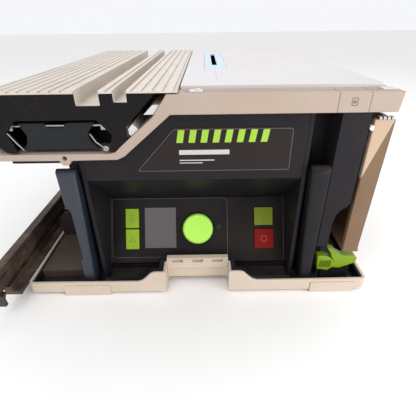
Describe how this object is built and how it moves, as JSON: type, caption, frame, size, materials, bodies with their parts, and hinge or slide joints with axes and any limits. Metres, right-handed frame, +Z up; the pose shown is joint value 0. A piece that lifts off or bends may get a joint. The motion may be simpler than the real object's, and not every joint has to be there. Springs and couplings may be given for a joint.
{
  "type": "table saw",
  "caption": "Compact cordless table saw with ribbed sliding table, tilting blade, sloped control panel with dial and keys, on a shallow stacking-case tray.",
  "frame": {"origin": "middle of the tray's footprint, on the ground", "axes": "+X to the operator's right, +Y away from the operator, +Z up"},
  "size_m": [0.573, 0.6355, 0.317],
  "materials": {
    "grey_plastic": "fine moulded texture",
    "black_plastic": "fine moulded texture",
    "label_black": "satin printed foil",
    "lime_plastic": "smooth moulded",
    "red_plastic": "smooth moulded",
    "display_glass": "smooth",
    "table_aluminium": "milled and coated",
    "extruded_aluminium": "anodised, ribbed",
    "insert_plastic": "smooth",
    "steel": "ground",
    "dusty_profile": "dusty",
    "paddle_grey": "fine moulded texture",
    "white_plastic": "smooth",
    "belt_rubber": "ribbed",
    "mark_print": "printed"
  },
  "bodies": {
    "base": {"base_tray": "grey_plastic", "tray_liner": "black_plastic", "catch_bar": "grey_plastic", "foot_blocks": "grey_plastic", "housing_left": "black_plastic", "housing_right": "black_plastic", "housing_front": "black_plastic", "housing_rear": "black_plastic", "housing_floor": "black_plastic", "label_plate": "label_black", "label_marks": "mark_print", "control_panel": "black_plastic", "control_bezel": "black_plastic", "display_window": "display_glass", "dial_encoder": "black_plastic", "panel_screw": "steel", "cheek_left": "black_plastic", "cheek_right": "black_plastic", "front_webs": "black_plastic", "right_column": "black_plastic", "side_cover": "grey_plastic", "clip_pin": "white_plastic", "left_inner_panel": "grey_plastic", "shelf_bracket": "black_plastic", "table_frame": "grey_plastic", "table_top": "table_aluminium", "table_insert": "insert_plastic", "rail_fittings": "table_aluminium", "guide_rail": "steel", "trunnion_brackets": "steel", "battery_dock": "black_plastic", "dust_port": "black_plastic", "accessory_holders": "black_plastic"},
    "dial": {"dial_knob": "lime_plastic"},
    "key_mode": {"key_upper": "lime_plastic"},
    "key_select": {"key_lower": "lime_plastic"},
    "start_key": {"key_start": "lime_plastic"},
    "stop_key": {"key_stop": "red_plastic"},
    "slider": {"sliding_table": "extruded_aluminium", "cap_front": "black_plastic", "cap_rear": "black_plastic", "bearing_blocks": "black_plastic", "paddle_mount": "steel"},
    "paddle": {"lock_paddle": "paddle_grey"},
    "tilt_unit": {"tilt_frame": "steel", "lift_drive": "steel"},
    "lift_spindle": {"lift_screw": "steel"},
    "lift_unit": {"lift_carriage": "black_plastic", "drive_belt": "belt_rubber", "motor_housing": "black_plastic", "riving_knife": "steel"},
    "rotor": {"motor_rotor": "steel"},
    "blade": {"arbor": "steel", "saw_blade": "steel"},
    "battery_a": {"battery_left": "black_plastic"},
    "battery_b": {"battery_right": "black_plastic"},
    "latch_a": {"battery_latch_left": "lime_plastic"},
    "latch_b": {"battery_latch_right": "lime_plastic"},
    "stick": {"push_stick": "lime_plastic"},
    "fence": {"parked_fence": "dusty_profile"}
  },
  "joints": [
    {"name": "table_slide", "type": "slide", "parent": "base", "child": "slider", "axis": [0, 1, 0], "range_m": [-0.18, 0.11]},
    {"name": "paddle_pivot", "type": "hinge", "parent": "slider", "child": "paddle", "pos_m": [-0.17, -0.2815, 0.275], "axis": [1, 0, 0], "range_deg": [0, 14], "stiffness_Nm_per_rad": 0.6, "springref_deg": -2.86},
    {"name": "dial_turn", "type": "hinge", "parent": "base", "child": "dial", "pos_m": [0.001, -0.21675, 0.07466], "axis": [0, -0.866, 0.5], "continuous": true},
    {"name": "key_upper_press", "type": "slide", "parent": "base", "child": "key_mode", "axis": [0, 0.866, -0.5], "range_m": [0, 0.0015], "stiffness_N_per_m": 900},
    {"name": "key_lower_press", "type": "slide", "parent": "base", "child": "key_select", "axis": [0, 0.866, -0.5], "range_m": [0, 0.0015], "stiffness_N_per_m": 900},
    {"name": "start_press", "type": "slide", "parent": "base", "child": "start_key", "axis": [0, 0.866, -0.5], "range_m": [0, 0.0015], "stiffness_N_per_m": 900},
    {"name": "stop_press", "type": "slide", "parent": "base", "child": "stop_key", "axis": [0, 0.866, -0.5], "range_m": [0, 0.0015], "stiffness_N_per_m": 900},
    {"name": "blade_tilt", "type": "hinge", "parent": "base", "child": "tilt_unit", "pos_m": [0.034, 0, 0.317], "axis": [0, 1, 0], "range_deg": [-10, 47]},
    {"name": "blade_lift", "type": "slide", "parent": "tilt_unit", "child": "lift_unit", "axis": [0, 0, 1], "range_m": [0, 0.06]},
    {"name": "spindle_turn", "type": "hinge", "parent": "tilt_unit", "child": "lift_spindle", "pos_m": [0.066, 0.1, 0.18], "axis": [0, 0, 1], "range_deg": [0, 2700]},
    {"name": "blade_spin", "type": "hinge", "parent": "lift_unit", "child": "blade", "pos_m": [0.034, 0.025, 0.221], "axis": [1, 0, 0], "continuous": true},
    {"name": "rotor_spin", "type": "hinge", "parent": "lift_unit", "child": "rotor", "pos_m": [0.07, 0.025, 0.175], "axis": [1, 0, 0], "continuous": true},
    {"name": "battery_a_slide", "type": "slide", "parent": "base", "child": "battery_a", "axis": [0, 1, 0], "range_m": [0, 0.1]},
    {"name": "battery_b_slide", "type": "slide", "parent": "base", "child": "battery_b", "axis": [0, 1, 0], "range_m": [0, 0.1]},
    {"name": "latch_a_press", "type": "slide", "parent": "battery_a", "child": "latch_a", "axis": [0, -1, 0], "range_m": [0, 0.003], "stiffness_N_per_m": 700},
    {"name": "latch_b_press", "type": "slide", "parent": "battery_b", "child": "latch_b", "axis": [0, -1, 0], "range_m": [0, 0.003], "stiffness_N_per_m": 700},
    {"name": "stick_lift", "type": "slide", "parent": "base", "child": "stick", "axis": [0, -1, 0], "range_m": [0, 0.08]},
    {"name": "fence_lift", "type": "slide", "parent": "base", "child": "fence", "axis": [0, 0, 1], "range_m": [0, 0.09]}
  ],
  "couplings": [
    {"joint": "spindle_turn", "follows": "blade_lift", "rad_per_m": 785.4},
    {"joint": "rotor_spin", "follows": "blade_spin", "ratio": 1.5}
  ]
}
